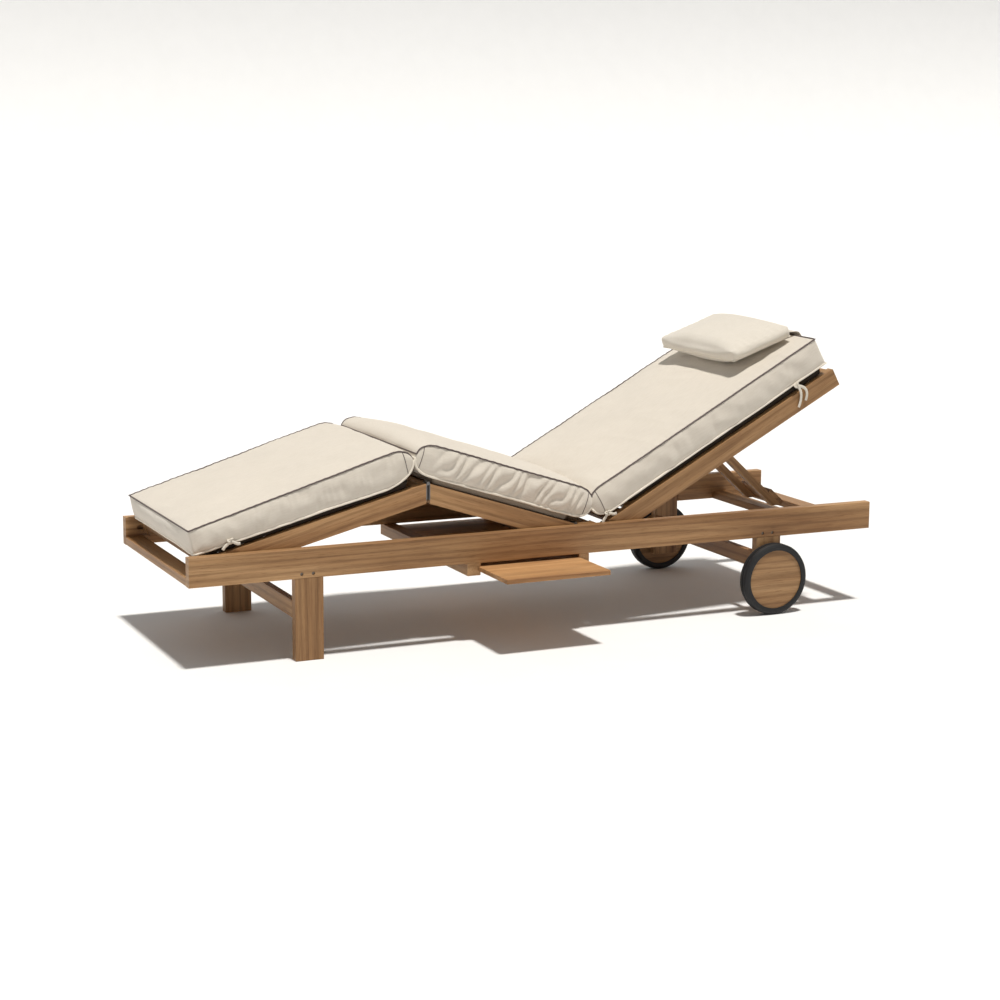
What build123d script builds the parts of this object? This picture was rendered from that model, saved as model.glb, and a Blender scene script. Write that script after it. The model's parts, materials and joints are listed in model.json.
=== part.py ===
from build123d import *
import os
from math import atan2, cos, degrees, hypot, radians, sin

# Reclining sun lounger in slatted timber with a three-part cushion, a side tray and two wheels.
# X runs from the foot end to the head end, Y across the lounger, Z up from the floor.
# The origin is on the floor at the middle of the whole outline, with the tray pulled out.

# ---- overall frame ----
rail_length = 2000.0
rail_height = 76.0
rail_thickness = 27.0
rail_bottom = 214.0
rail_outer = 305.0                 # outer face of each rail from the lounger's centre plane
wheel_outer = 344.0                # outer face of each tyre from the centre plane
tray_reach = 480.0                 # near edge of the tray from the centre plane, as set down
centre_y = (tray_reach - wheel_outer) / 2
rail_top = rail_bottom + rail_height
rail_inner = rail_outer - rail_thickness
edge_round = 2.0

# ---- crossbars between the rails ----
crossbar_height = 21.0
foot_crossbar_x = (-1000.0, -949.0)
prop_crossbar_x = (828.0, 878.0)
head_crossbar_x = (949.0, 1000.0)

# ---- legs and stretchers ----
leg_width = 76.0
front_leg_x = -724.0
rear_leg_x = 630.0
rear_leg_bottom = 55.0             # the rear legs stop above the floor and the wheels carry that end
tongue_thickness = 13.0
tongue_top = 276.0
lap_clearance = 0.1
stretcher_thickness = 19.0
front_stretcher_z = (109.0, 155.0)
rear_stretcher_z = (127.0, 172.0)
leg_screw_rise = 11.5
leg_screw_x = (18.0, 49.0)

# ---- wheels ----
wheel_x = 672.0
wheel_radius = 100.0
disc_radius = 82.0
tyre_width = 35.0
disc_thickness = 27.0
spindle_radius = 6.0
running_gap = 0.05
bush_radius = 9.0
bush_flange_radius = 13.0
bush_flange_thickness = 2.0

# ---- fasteners ----
dowel_radius = 4.0
dowel_length = 40.0
screw_radius = 2.25
screw_head_radius = 4.2
screw_head_height = 3.0
fit_gap = 0.03

# ---- stiles, slats and ledgers of the three folding sections ----
stile_height = 50.0
stile_width = 26.0
stile_outer = 276.0
stile_inner = stile_outer - stile_width
slat_thickness = 14.0
slat_width = 52.0
ledger_width = 16.0
ledger_height = 20.0
slat_housing = 8.0

# ---- seat and knee hinges ----
seat_hinge_x = 80.0
seat_hinge_z = rail_top
knee_x = -348.5
knee_z = 429.0
thigh_length = hypot(seat_hinge_x - knee_x, knee_z - seat_hinge_z)
thigh_slope = -degrees(atan2(knee_z - seat_hinge_z, seat_hinge_x - knee_x))
foot_slope = 14.16
leaf_thickness = 2.0
leaf_length = 44.0
knuckle_radius = 4.5
hinge_pin_radius = 2.0
hinge_half_gap = 3.5
knuckle_split = (8.0, 18.0)
knuckle_gap = 0.4

# ---- foot section ----
foot_stile_end = -627.4
slide_pin_u = -592.6
slide_pin_w = -24.8
slide_pin_radius = 5.0
groove_radius = 6.0
groove_depth = 12.0
groove_z = 260.0
groove_x = (-963.5, -914.0)

# ---- seat blocks ----
block_x = (85.5, 149.0)
block_top = 292.0
block_bottom = 242.0

# ---- backrest ----
back_pivot_x = 182.3
back_pivot_z = 265.0
back_slope = 28.4
back_length = 806.0
pivot_pin_radius = 5.0
prop_rod_u = 456.0
prop_rod_radius = 6.0
prop_rod_half = 266.0              # each end is blind in its stile

# ---- prop ----
prop_slope = -42.5
prop_length = 338.0
prop_thickness = 21.0
prop_arm_width = 22.0
prop_outer = 80.0
prop_board_length = 60.0
prop_board_thickness = 12.0

# ---- side tray and its runners ----
tray_x = (-217.0, 81.0)
tray_thickness = 12.0
tray_bottom = 192.0
foot_runner_x = (-250.0, -212.0)
head_runner_x = (76.0, 106.0)
runner_bottom = 181.0
runner_top = rail_bottom
tray_side_gap = 0.6

# ---- cushions, measured along each section and square to it ----
cushion_half = 272.0
pad_base = 16.0                    # underside above the stile tops
pad_nose = 50.0                    # height of the point where two cushions meet
pad_shoulder = 84.0
pad_top = 99.0
pad_gap = 4.0                      # from the hinge line to the nose of each cushion
pad_chamfer = 16.0
pad_run = 42.0                     # from the shoulder up to the full height
foot_pad_start = -637.0
seat_end_pad = 33.0                # end of the middle cushion beyond the seat hinge
back_pad_start = 19.0
back_pad_end = 799.0
back_pad_base = 41.0
back_pad_top = 124.0
pillow_start = 567.0
pillow_end = 768.0
pillow_low = 140.0
pillow_high = 212.0
pillow_round = 18.0
pillow_half = 200.0
pad_round = 18.0
tie_length = 30.0
tie_height = 16.0
tie_thickness = 9.0
flap_half = 175.0

os.makedirs("parts", exist_ok=True)


def save(node, name):
    node.part.label = name
    export_step(node.part, "parts/" + name + ".step")


def side_plane(x, z, slope, y):
    """Upright plane at y, its own X along a member sloping at slope degrees, its normal along -Y."""
    return Plane(origin=(x, y, z), x_dir=(cos(radians(slope)), 0, sin(radians(slope))), z_dir=(0, -1, 0))


def span(side, inner, outer):
    """Low and high Y of a piece that lies between two distances from the centre plane, on one side."""
    low = centre_y + min(side * inner, side * outer)
    high = centre_y + max(side * inner, side * outer)
    return low, high


def thigh_plane(y):
    return side_plane(seat_hinge_x, seat_hinge_z, thigh_slope, y)


def foot_plane(y):
    return side_plane(knee_x, knee_z, foot_slope, y)


def back_plane(y):
    return side_plane(back_pivot_x, back_pivot_z, back_slope, y)


def prop_plane(y):
    x = back_pivot_x + prop_rod_u * cos(radians(back_slope))
    z = back_pivot_z + prop_rod_u * sin(radians(back_slope))
    return side_plane(x, z, prop_slope, y)


def level_plane(y):
    return side_plane(0, 0, 0, y)


def box_sketch(low, high):
    """Rectangle between two corners in the current sketch."""
    with Locations(((low[0] + high[0]) / 2, (low[1] + high[1]) / 2)):
        Rectangle(high[0] - low[0], high[1] - low[1])


def cut_rod(plane, points, radius, length):
    """Bore through the current part: circles on a plane, cut along its normal."""
    with BuildSketch(plane) as rods:
        with Locations(*points):
            Circle(radius)
    extrude(rods.sketch, amount=length, mode=Mode.SUBTRACT)


def cut_disc(plane, radius, length):
    """Bore one hole through the current part, at a plane's own origin."""
    with BuildSketch(plane) as disc:
        Circle(radius)
    extrude(disc.sketch, amount=length, mode=Mode.SUBTRACT)


def cross_points(x_range, z_range):
    """Two dowel centres in the end of a member lying across the lounger."""
    x0, x1 = x_range
    z0, z1 = z_range
    if x1 - x0 > z1 - z0:
        reach = (x1 - x0) / 2 - 10
        return [((x0 + x1) / 2 + shift, (z0 + z1) / 2) for shift in (-reach, reach)]
    reach = (z1 - z0) / 2 - 10
    return [((x0 + x1) / 2, (z0 + z1) / 2 + shift) for shift in (-reach, reach)]


crossbar_z = (rail_bottom, rail_bottom + crossbar_height)
rail_dowels = []
for bar_x in (foot_crossbar_x, prop_crossbar_x, head_crossbar_x):
    rail_dowels += cross_points(bar_x, crossbar_z)
front_stretcher_x = (front_leg_x, front_leg_x + stretcher_thickness)
rear_stretcher_x = (rear_leg_x, rear_leg_x + stretcher_thickness)
front_dowels = cross_points(front_stretcher_x, front_stretcher_z)
rear_dowels = cross_points(rear_stretcher_x, rear_stretcher_z)
leg_dowels = {"front": front_dowels, "rear": rear_dowels}
leg_left = {"front": front_leg_x, "rear": rear_leg_x}
leg_bottom = {"front": 0.0, "rear": rear_leg_bottom}
screw_points = []
for leg_x in (front_leg_x, rear_leg_x):
    screw_points += [(leg_x + offset, rail_bottom + leg_screw_rise) for offset in leg_screw_x]
block_screws = [(block_x[0] + 16, block_bottom + 25), (block_x[1] - 20, block_bottom + 25)]
runner_screw_x = [sum(foot_runner_x) / 2, sum(head_runner_x) / 2 + 3]
rail_middle = (rail_inner + rail_outer) / 2
sides = {"near": -1, "far": 1}

# ---- rails ----
for name, side in sides.items():
    low, high = span(side, rail_inner, rail_outer)
    with BuildPart() as rail:
        with BuildSketch(level_plane(high)):
            box_sketch((-rail_length / 2, rail_bottom), (rail_length / 2, rail_top))
        extrude(amount=rail_thickness)
        fillet(rail.edges().filter_by(Axis.X), edge_round)
        tongue = span(side, rail_inner, rail_inner + tongue_thickness + lap_clearance)
        with BuildSketch(level_plane(tongue[1])):
            for leg_x in leg_left.values():
                box_sketch((leg_x - lap_clearance, rail_bottom - 5),
                           (leg_x + leg_width + lap_clearance, tongue_top + lap_clearance))
        extrude(amount=tongue[1] - tongue[0], mode=Mode.SUBTRACT)
        groove = span(side, rail_inner - 1, rail_inner + groove_depth)
        with BuildSketch(level_plane(groove[1])):
            with Locations((sum(groove_x) / 2, groove_z)):
                SlotCenterToCenter(groove_x[1] - groove_x[0], 2 * groove_radius)
        extrude(amount=groove[1] - groove[0], mode=Mode.SUBTRACT)
        bore = span(side, rail_inner - 1, rail_inner + dowel_length / 2 + 0.5)
        cut_rod(level_plane(bore[1]), rail_dowels, dowel_radius + fit_gap, bore[1] - bore[0])
        pin_bore = span(side, rail_inner - 1, rail_inner + 16)
        cut_rod(level_plane(pin_bore[1]), [(back_pivot_x, back_pivot_z)],
                pivot_pin_radius + fit_gap, pin_bore[1] - pin_bore[0])
        head = span(side, rail_outer - 6, rail_outer + 1)
        cut_rod(level_plane(head[1]), screw_points, screw_head_radius + 0.3, head[1] - head[0])
        shank = span(side, rail_inner, rail_outer)
        cut_rod(level_plane(shank[1]), screw_points, screw_radius + fit_gap, shank[1] - shank[0])
        block_bore = span(side, rail_inner - 1, rail_inner + 20)
        cut_rod(level_plane(block_bore[1]), block_screws, screw_radius + fit_gap, block_bore[1] - block_bore[0])
        for x in runner_screw_x:
            below = Plane(origin=(x, centre_y + side * rail_middle, rail_bottom - 1))
            cut_disc(below, screw_radius + fit_gap, 22)
    save(rail, "rail_" + name)


# ---- members lying across, dowelled at both ends ----
def cross_member(x_range, z_range, half):
    """Board across the lounger with two dowel holes in each end."""
    with BuildPart() as member:
        with BuildSketch(level_plane(centre_y + half)):
            box_sketch((x_range[0], z_range[0]), (x_range[1], z_range[1]))
        extrude(amount=2 * half)
        fillet(member.edges().filter_by(Axis.Y), edge_round)
        points = cross_points(x_range, z_range)
        depth = dowel_length / 2 + 0.5
        cut_rod(level_plane(centre_y + half), points, dowel_radius + fit_gap, depth)
        cut_rod(level_plane(centre_y - half + depth), points, dowel_radius + fit_gap, depth)
    return member


save(cross_member(foot_crossbar_x, crossbar_z, rail_inner), "foot_crossbar")
save(cross_member(prop_crossbar_x, crossbar_z, rail_inner), "prop_crossbar")
save(cross_member(head_crossbar_x, crossbar_z, rail_inner), "head_crossbar")
save(cross_member(front_stretcher_x, front_stretcher_z, rail_inner), "front_stretcher")
save(cross_member(rear_stretcher_x, rear_stretcher_z, rail_inner), "rear_stretcher")

with BuildPart() as frame_dowels:
    for side in sides.values():
        peg = span(side, rail_inner - dowel_length / 2, rail_inner + dowel_length / 2)
        with BuildSketch(level_plane(peg[1])):
            with Locations(*(rail_dowels + front_dowels + rear_dowels)):
                Circle(dowel_radius)
        extrude(amount=dowel_length)
save(frame_dowels, "frame_dowels")

# ---- legs ----
for end, leg_x in leg_left.items():
    for name, side in sides.items():
        low, high = span(side, rail_inner, rail_outer)
        tongue = span(side, rail_inner, rail_inner + tongue_thickness)
        with BuildPart() as leg:
            with BuildSketch(level_plane(high)):
                box_sketch((leg_x, leg_bottom[end]), (leg_x + leg_width, rail_bottom))
            extrude(amount=rail_thickness)
            fillet(leg.edges().filter_by(Axis.Z), edge_round)
            fillet(leg.faces().sort_by(Axis.Z)[0].edges(), edge_round)
            with BuildSketch(level_plane(tongue[1])):
                box_sketch((leg_x + edge_round, rail_bottom - 4), (leg_x + leg_width - edge_round, tongue_top))
            extrude(amount=tongue_thickness)
            bore = span(side, rail_inner - 1, rail_inner + dowel_length / 2 + 0.5)
            cut_rod(level_plane(bore[1]), leg_dowels[end], dowel_radius + fit_gap, bore[1] - bore[0])
            shank = span(side, rail_inner + 2, rail_outer)
            leg_points = [point for point in screw_points if leg_x < point[0] < leg_x + leg_width]
            cut_rod(level_plane(shank[1]), leg_points, screw_radius + fit_gap, shank[1] - shank[0])
            if end == "rear":
                cut_rod(level_plane(high + 1), [(wheel_x, wheel_radius)],
                        bush_radius + fit_gap, rail_thickness + 2)
        save(leg, end + "_leg_" + name)

with BuildPart() as leg_screws:
    for side in sides.values():
        head = span(side, rail_outer - 6, rail_outer - 6 + screw_head_height)
        with BuildSketch(level_plane(head[1])):
            with Locations(*screw_points):
                Circle(screw_head_radius)
        extrude(amount=screw_head_height)
        shank = span(side, rail_inner + 3, rail_outer - 5)
        with BuildSketch(level_plane(shank[1])):
            with Locations(*screw_points):
                Circle(screw_radius)
        extrude(amount=shank[1] - shank[0])
save(leg_screws, "leg_screws")

# ---- seat blocks, the fixed slat housed in them and their screws ----
seat_slat_half = rail_inner - stile_width + slat_housing
seat_slat_low = (block_x[0] + 6, block_top - 2 - slat_thickness)
seat_slat_high = (block_x[1] - 18, block_top - 2)
for name, side in sides.items():
    low, high = span(side, rail_inner - stile_width, rail_inner)
    with BuildPart() as block:
        with BuildSketch(level_plane(high)):
            box_sketch((block_x[0], block_bottom), (block_x[1], block_top))
        extrude(amount=stile_width)
        head_edges = block.edges().filter_by(Axis.Y).group_by(Axis.X)[-1]
        fillet(head_edges, 18)
        cut_rod(level_plane(high), block_screws, screw_radius + fit_gap, stile_width)
        inner_head = span(side, rail_inner - stile_width - 1, rail_inner - stile_width + 4)
        cut_rod(level_plane(inner_head[1]), block_screws, screw_head_radius + 0.3, 5)
        housing = span(side, rail_inner - stile_width - 1, seat_slat_half + lap_clearance)
        with BuildSketch(level_plane(housing[1])):
            box_sketch((seat_slat_low[0] - lap_clearance, seat_slat_low[1] - lap_clearance),
                       (seat_slat_high[0] + lap_clearance, block_top + 1))
        extrude(amount=housing[1] - housing[0], mode=Mode.SUBTRACT)
    save(block, "seat_block_" + name)

with BuildPart() as seat_slat:
    with BuildSketch(level_plane(centre_y + seat_slat_half)):
        box_sketch(seat_slat_low, seat_slat_high)
    extrude(amount=2 * seat_slat_half)
save(seat_slat, "seat_slat")


# ---- tray runners ----
def runner(x_range, open_side):
    """Beam under both rails, rebated along one face to carry an edge of the tray."""
    groove_top = tray_bottom + tray_thickness + tray_side_gap
    groove_low = tray_bottom - tray_side_gap
    with BuildPart() as beam:
        with BuildSketch(level_plane(centre_y + rail_outer)):
            box_sketch((x_range[0], runner_bottom), (x_range[1], runner_top))
        extrude(amount=2 * rail_outer)
        fillet(beam.edges().filter_by(Axis.Y), edge_round)
        if open_side > 0:
            cut = (tray_x[0] - tray_side_gap, x_range[1] + 1)
        else:
            cut = (x_range[0] - 1, tray_x[1] + tray_side_gap)
        with BuildSketch(level_plane(centre_y + rail_outer + 1)):
            box_sketch((cut[0], groove_low), (cut[1], groove_top))
        extrude(amount=2 * rail_outer + 2, mode=Mode.SUBTRACT)
        screw_x = runner_screw_x[0] if open_side > 0 else runner_screw_x[1]
        for side in sides.values():
            below = Plane(origin=(screw_x, centre_y + side * rail_middle, runner_bottom - 1))
            cut_disc(below, screw_radius + fit_gap, runner_top - runner_bottom + 2)
            cut_disc(below, screw_head_radius + 0.3, 5)
    return beam


save(runner(foot_runner_x, 1), "tray_runner_foot")
save(runner(head_runner_x, -1), "tray_runner_head")

with BuildPart() as inner_screws:
    for side in sides.values():
        for x in runner_screw_x:
            with BuildSketch(Plane.XY.offset(runner_bottom + 1)):
                with Locations((x, centre_y + side * rail_middle)):
                    Circle(screw_head_radius)
            extrude(amount=screw_head_height)
            with BuildSketch(Plane.XY.offset(runner_bottom + 3)):
                with Locations((x, centre_y + side * rail_middle)):
                    Circle(screw_radius)
            extrude(amount=43)
        head = span(side, rail_inner - stile_width + 1, rail_inner - stile_width + 1 + screw_head_height)
        with BuildSketch(level_plane(head[1])):
            with Locations(*block_screws):
                Circle(screw_head_radius)
        extrude(amount=screw_head_height)
        shank = span(side, rail_inner - stile_width + 3, rail_inner - stile_width + 45)
        with BuildSketch(level_plane(shank[1])):
            with Locations(*block_screws):
                Circle(screw_radius)
        extrude(amount=shank[1] - shank[0])
save(inner_screws, "inner_screws")

with BuildPart() as tray_board:
    with BuildSketch(Plane.XY.offset(tray_bottom)):
        box_sketch((tray_x[0], centre_y - tray_reach), (tray_x[1], centre_y + rail_outer))
    extrude(amount=tray_thickness)
    fillet(tray_board.edges().filter_by(Axis.Z), 3)
    fillet(tray_board.edges().filter_by(Axis.Y).group_by(Axis.Z)[-1], 1.5)
save(tray_board, "tray_board")

# ---- wheels, spindles and bushes ----
tyre_inner = wheel_outer - tyre_width
disc_inner = wheel_outer - (tyre_width + disc_thickness) / 2
tyre_profile = [
    (disc_radius, tyre_inner + 1), (disc_radius + 6, tyre_inner), (wheel_radius - 7, tyre_inner),
    (wheel_radius - 2, tyre_inner + 3), (wheel_radius, tyre_inner + 8), (wheel_radius, tyre_inner + 16),
    (wheel_radius - 3, tyre_inner + 17), (wheel_radius - 3, tyre_inner + 19), (wheel_radius, tyre_inner + 20),
    (wheel_radius, wheel_outer - 8), (wheel_radius - 2, wheel_outer - 3), (wheel_radius - 7, wheel_outer),
    (disc_radius + 6, wheel_outer), (disc_radius, wheel_outer - 1),
]
for name, side in sides.items():
    hub_axis = Plane(origin=(wheel_x, centre_y, wheel_radius), x_dir=(1, 0, 0), z_dir=(0, 0, 1))
    with BuildPart() as tyre:
        with BuildSketch(hub_axis):
            with BuildLine():
                Polyline(*[(radius, side * reach) for radius, reach in tyre_profile], close=True)
            make_face()
        revolve(axis=Axis((wheel_x, centre_y, wheel_radius), (0, 1, 0)))
    save(tyre, "wheel_tyre_" + name)
    low, high = span(side, disc_inner, disc_inner + disc_thickness)
    with BuildPart() as disc:
        with BuildSketch(level_plane(high)):
            with Locations((wheel_x, wheel_radius)):
                Circle(disc_radius)
        extrude(amount=disc_thickness)
        socket = span(side, disc_inner - 1, disc_inner + 20)
        cut_rod(level_plane(socket[1]), [(wheel_x, wheel_radius)], spindle_radius + fit_gap, 21)
    save(disc, "wheel_disc_" + name)
    low, high = span(side, rail_inner - 6, disc_inner + 19)
    nut = span(side, rail_inner - 5, rail_inner - 2)
    with BuildPart() as spindle:
        with BuildSketch(level_plane(high)):
            with Locations((wheel_x, wheel_radius)):
                Circle(spindle_radius)
        extrude(amount=high - low)
        with BuildSketch(level_plane(nut[1])):
            with Locations((wheel_x, wheel_radius)):
                Circle(spindle_radius + 6)
        extrude(amount=nut[1] - nut[0])
    save(spindle, "wheel_spindle_" + name)

with BuildPart() as wheel_bushes:
    for side in sides.values():
        low, high = span(side, rail_inner, rail_outer)
        flange = span(side, rail_outer, rail_outer + bush_flange_thickness)
        with BuildSketch(level_plane(high)):
            with Locations((wheel_x, wheel_radius)):
                Circle(bush_radius)
                Circle(spindle_radius + running_gap, mode=Mode.SUBTRACT)
        extrude(amount=rail_thickness)
        with BuildSketch(level_plane(flange[1])):
            with Locations((wheel_x, wheel_radius)):
                Circle(bush_flange_radius)
                Circle(spindle_radius + running_gap, mode=Mode.SUBTRACT)
        extrude(amount=bush_flange_thickness)
save(wheel_bushes, "wheel_bushes")


# ---- hinges: two leaves and a pin at each stile, at the seat and at the knee ----
middle_knuckle = [(knuckle_split[0] + knuckle_gap, knuckle_split[1] - knuckle_gap)]
outer_knuckles = [(0.0, knuckle_split[0]), (knuckle_split[1], stile_width)]


def hinge_leaf(plane_of, pivot, toward, low, spans):
    """Leaf square to a member's side view, standing hinge_half_gap from the pin, with its knuckles round it."""
    near_face = pivot[0] + toward * hinge_half_gap
    far_face = near_face + toward * leaf_thickness
    with BuildSketch(plane_of(low + stile_width)) as leaf:
        box_sketch((min(near_face, far_face), pivot[1] - leaf_length), (max(near_face, far_face), pivot[1] - 1))
    extrude(leaf.sketch, amount=stile_width)
    for start, end in spans:
        with BuildSketch(plane_of(low + end)) as knuckle:
            with Locations(pivot):
                Circle(knuckle_radius)
        extrude(knuckle.sketch, amount=end - start)
    for start, end in middle_knuckle + outer_knuckles:
        if (start, end) not in spans:
            cut_rod(plane_of(low + end + knuckle_gap), [pivot], knuckle_radius + knuckle_gap,
                    end - start + 2 * knuckle_gap)
    cut_rod(plane_of(low + stile_width + 1), [pivot], hinge_pin_radius + running_gap, stile_width + 2)


stile_low = {side: span(side, stile_inner, stile_outer)[0] for side in sides.values()}

with BuildPart() as seat_hinge_leaves:
    for side in sides.values():
        hinge_leaf(level_plane, (seat_hinge_x, seat_hinge_z), 1, stile_low[side], outer_knuckles)
save(seat_hinge_leaves, "seat_hinge_leaves")

with BuildPart() as thigh_hinge_leaves:
    for side in sides.values():
        hinge_leaf(thigh_plane, (0, 0), -1, stile_low[side], middle_knuckle)
        hinge_leaf(level_plane, (knee_x, knee_z), 1, stile_low[side], middle_knuckle)
save(thigh_hinge_leaves, "thigh_hinge_leaves")

with BuildPart() as foot_hinge_leaves:
    for side in sides.values():
        hinge_leaf(level_plane, (knee_x, knee_z), -1, stile_low[side], outer_knuckles)
save(foot_hinge_leaves, "foot_hinge_leaves")

with BuildPart() as hinge_pins:
    for side in sides.values():
        with BuildSketch(level_plane(stile_low[side] + stile_width)):
            with Locations((seat_hinge_x, seat_hinge_z), (knee_x, knee_z)):
                Circle(hinge_pin_radius)
        extrude(amount=stile_width)
save(hinge_pins, "hinge_pins")


# ---- slats between a pair of stiles, their faces flush, on a ledger along each stile ----
def slat_starts(first, last, count):
    pitch = (last - first - slat_width) / (count - 1)
    return [first + pitch * index for index in range(count)]


def slat_frame(plane_of, start, seat, side):
    """Plane square to a slat, centred on its fixing at one end, on its lower face."""
    plane = plane_of(centre_y + side * (stile_inner - ledger_width / 2))
    return Plane(origin=plane.from_local_coords((start + slat_width / 2, seat - slat_thickness, 0)),
                 x_dir=plane.x_dir, z_dir=plane.y_dir)


def slat_group(plane_of, starts, seat):
    with BuildPart() as slats:
        for start in starts:
            with BuildSketch(plane_of(centre_y + stile_inner - 0.3)):
                with Locations((start + slat_width / 2, seat - slat_thickness / 2)):
                    RectangleRounded(slat_width, slat_thickness, 3)
            extrude(amount=2 * (stile_inner - 0.3))
        for side in sides.values():
            for start in starts:
                lower_face = slat_frame(plane_of, start, seat, side)
                cut_disc(lower_face.offset(-1), screw_radius + fit_gap, slat_thickness + 2)
                cut_disc(lower_face.offset(slat_thickness - 3.5), screw_head_radius + 0.2, 5)
    return slats


def slat_screw_group(plane_of, starts, seat):
    with BuildPart() as screws:
        for side in sides.values():
            for start in starts:
                lower_face = slat_frame(plane_of, start, seat, side)
                with BuildSketch(lower_face.offset(slat_thickness - 3.5)):
                    Circle(screw_head_radius)
                extrude(amount=screw_head_height)
                with BuildSketch(lower_face.offset(-12)):
                    Circle(screw_radius)
                extrude(amount=12 + slat_thickness - 3)
    return screws


def ledger_group(plane_of, starts, seat, first, last, rods=()):
    """Strip along the inside of each stile, under the slats, bored for any rod that crosses it."""
    with BuildPart() as ledgers:
        for side in sides.values():
            low, high = span(side, stile_inner - ledger_width, stile_inner)
            top = seat - slat_thickness
            with BuildSketch(plane_of(high)):
                box_sketch((first, top - ledger_height), (last, top))
            extrude(amount=ledger_width)
        for side in sides.values():
            for start in starts:
                lower_face = slat_frame(plane_of, start, seat, side)
                cut_disc(lower_face.offset(-13), screw_radius + fit_gap, 14)
        for spot in rods:
            cut_rod(plane_of(centre_y + stile_outer), [spot],
                    prop_rod_radius + running_gap, 2 * stile_outer)
    return ledgers


def prism(plane_of, outline, half):
    """Closed outline in a section's side view, carried across the lounger."""
    with BuildPart() as solid:
        with BuildSketch(plane_of(centre_y + half)):
            with BuildLine():
                Polyline(*outline, close=True)
            make_face()
        extrude(amount=2 * half)
    return solid


def cushion(plane_of, outline, belly):
    """Boxed cushion that hangs over the stiles, its underside lower between them where it meets the slats."""
    with BuildPart() as solid:
        with BuildSketch(plane_of(centre_y + cushion_half)):
            with BuildLine():
                Polyline(*outline, close=True)
            make_face()
        extrude(amount=2 * cushion_half)
        with BuildSketch(plane_of(centre_y + stile_inner - 6)):
            box_sketch(*belly)
        extrude(amount=2 * (stile_inner - 6))
    return solid


# ---- thigh section: hinged at the seat, raised at the knee ----
thigh_starts = slat_starts(-thigh_length + 14, -12, 7)
mitre = hinge_half_gap + leaf_thickness
knee_cut = -thigh_length + mitre / cos(radians(thigh_slope))
mitre_run = stile_height * sin(radians(-thigh_slope)) / cos(radians(thigh_slope))
seat_cut = -(hinge_half_gap + leaf_thickness)
for name, side in sides.items():
    low, high = span(side, stile_inner, stile_outer)
    with BuildPart() as stile:
        with BuildSketch(thigh_plane(high)):
            with BuildLine():
                Polyline((knee_cut, 0), (seat_cut, 0), (seat_cut, -stile_height),
                         (knee_cut + mitre_run, -stile_height), close=True)
            make_face()
        extrude(amount=stile_width)
        for pivot in ((seat_hinge_x, seat_hinge_z), (knee_x, knee_z)):
            cut_rod(level_plane(high + 1), [pivot], knuckle_radius + 1, stile_width + 2)
    save(stile, "thigh_stile_" + name)
save(slat_group(thigh_plane, thigh_starts, 0), "thigh_slats")
save(slat_screw_group(thigh_plane, thigh_starts, 0), "thigh_slat_screws")
save(ledger_group(thigh_plane, thigh_starts, 0, -thigh_length + 24, -12), "thigh_ledgers")

# ---- foot section: hinged at the knee, its free end sliding in the rails ----
foot_starts = slat_starts(foot_stile_end, -14, 10)
foot_cut = -mitre / cos(radians(foot_slope))
foot_run = stile_height * sin(radians(foot_slope)) / cos(radians(foot_slope))
for name, side in sides.items():
    low, high = span(side, stile_inner, stile_outer)
    with BuildPart() as stile:
        with BuildSketch(foot_plane(high)):
            with BuildLine():
                Polyline((foot_stile_end, 0), (foot_cut, 0), (foot_cut - foot_run, -stile_height),
                         (foot_stile_end + 60, -stile_height), (foot_stile_end, -stile_height + 20), close=True)
            make_face()
        extrude(amount=stile_width)
        cut_rod(level_plane(high + 1), [(knee_x, knee_z)], knuckle_radius + 1, stile_width + 2)
        cut_rod(foot_plane(high + 1), [(slide_pin_u, slide_pin_w)], slide_pin_radius + fit_gap,
                stile_width + 2)
    save(stile, "foot_stile_" + name)
save(slat_group(foot_plane, foot_starts, 0), "foot_slats")
save(slat_screw_group(foot_plane, foot_starts, 0), "foot_slat_screws")
save(ledger_group(foot_plane, foot_starts, 0, foot_stile_end + 4, -24), "foot_ledgers")

with BuildPart() as foot_slide_pins:
    for side in sides.values():
        low, high = span(side, stile_inner + 1, rail_inner + groove_depth - 1)
        with BuildSketch(foot_plane(high)):
            with Locations((slide_pin_u, slide_pin_w)):
                Circle(slide_pin_radius)
        extrude(amount=high - low)
save(foot_slide_pins, "foot_slide_pins")

# ---- backrest ----
back_starts = slat_starts(14, 802, 12)
stile_radius = stile_height / 2
for name, side in sides.items():
    low, high = span(side, stile_inner, stile_outer)
    with BuildPart() as stile:
        with BuildSketch(back_plane(high)):
            box_sketch((0, -stile_radius), (back_length, stile_radius))
            Circle(stile_radius)
        extrude(amount=stile_width)
        cut_rod(back_plane(high + 1), [(0, 0)], pivot_pin_radius + running_gap, stile_width + 2)
        rod_bore = span(side, stile_inner - 1, prop_rod_half + 0.5)
        cut_rod(back_plane(rod_bore[1]), [(prop_rod_u, 0)],
                prop_rod_radius + fit_gap, rod_bore[1] - rod_bore[0])
    save(stile, "back_stile_" + name)
save(slat_group(back_plane, back_starts, stile_radius), "back_slats")
save(slat_screw_group(back_plane, back_starts, stile_radius), "back_slat_screws")
save(ledger_group(back_plane, back_starts, stile_radius, 14, back_length - 4, [(prop_rod_u, 0)]),
     "back_ledgers")

with BuildPart() as backrest_pivot_pins:
    for side in sides.values():
        low, high = span(side, stile_inner + 3, rail_inner + 15.5)
        with BuildSketch(back_plane(high)):
            Circle(pivot_pin_radius)
        extrude(amount=high - low)
save(backrest_pivot_pins, "backrest_pivot_pins")

with BuildPart() as prop_rod:
    with BuildSketch(back_plane(centre_y + prop_rod_half)):
        with Locations((prop_rod_u, 0)):
            Circle(prop_rod_radius)
    extrude(amount=2 * prop_rod_half)
save(prop_rod, "prop_rod")

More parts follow.
